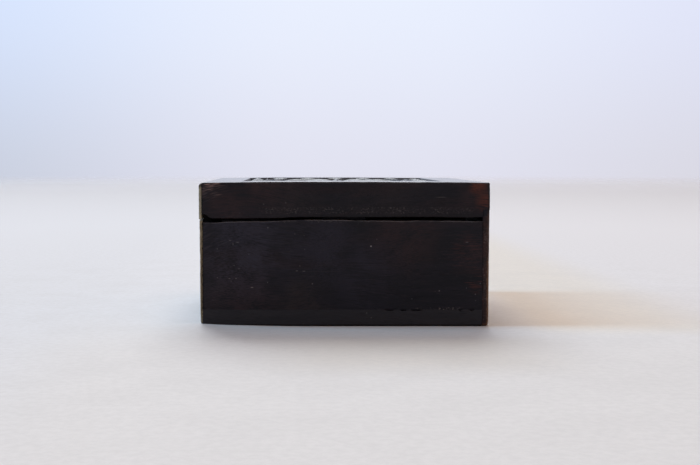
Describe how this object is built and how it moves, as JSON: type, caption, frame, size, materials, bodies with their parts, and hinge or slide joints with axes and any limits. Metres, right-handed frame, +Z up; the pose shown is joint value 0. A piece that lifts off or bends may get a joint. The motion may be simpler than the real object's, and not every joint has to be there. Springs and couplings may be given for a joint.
{
  "type": "wooden puzzle box",
  "caption": "Small square dark wooden puzzle box whose captive lid slides forward on dovetail runners, held by a loose front panel and hidden pins.",
  "frame": {"origin": "middle of the underside, on the surface that the box stands on", "axes": "+Z up, -Y out of the front face, +X to the right seen from the front"},
  "size_m": [0.08, 0.08, 0.04],
  "materials": {
    "dark_wood": "near-black stained wood, waxed to a satin sheen, worn brown at the edges",
    "edge_wood": "thin olive-brown edging strip, satin",
    "inner_wood": "unstained red-brown hardwood, planed and left dry",
    "peg_wood": "plain turned dowel, cut flush",
    "pin_steel": "turned bright steel"
  },
  "bodies": {
    "carcass": {"base_board": "dark_wood", "left_wall": "dark_wood", "right_wall": "dark_wood", "back_wall": "dark_wood", "inner_front_wall": "inner_wood", "lock_block_left": "inner_wood", "lock_block_right": "inner_wood", "bore_plug_left": "peg_wood", "bore_plug_right": "peg_wood", "base_pegs": "peg_wood", "back_wall_pegs": "peg_wood"},
    "lid": {"lid_board": "dark_wood", "lid_left_strip": "edge_wood", "lid_cleat": "dark_wood", "lid_catch_batten": "inner_wood", "lid_runner_left": "inner_wood", "lid_runner_right": "inner_wood", "lid_fork": "inner_wood"},
    "front_panel": {"front_panel": "dark_wood", "panel_key": "inner_wood", "key_pegs": "peg_wood"},
    "pin_left": {"lock_pin_left": "pin_steel"},
    "pin_right": {"lock_pin_right": "pin_steel"}
  },
  "joints": [
    {"name": "lid_slide", "type": "slide", "parent": "carcass", "child": "lid", "axis": [0, -1, 0], "range_m": [0, 0.059]},
    {"name": "front_panel_lift", "type": "slide", "parent": "carcass", "child": "front_panel", "axis": [0, 0, 1], "range_m": [0, 0.0006]},
    {"name": "left_pin_slide", "type": "slide", "parent": "carcass", "child": "pin_left", "axis": [1, 0, 0], "range_m": [0, 0.0046]},
    {"name": "right_pin_slide", "type": "slide", "parent": "carcass", "child": "pin_right", "axis": [-1, 0, 0], "range_m": [0, 0.0046]}
  ]
}
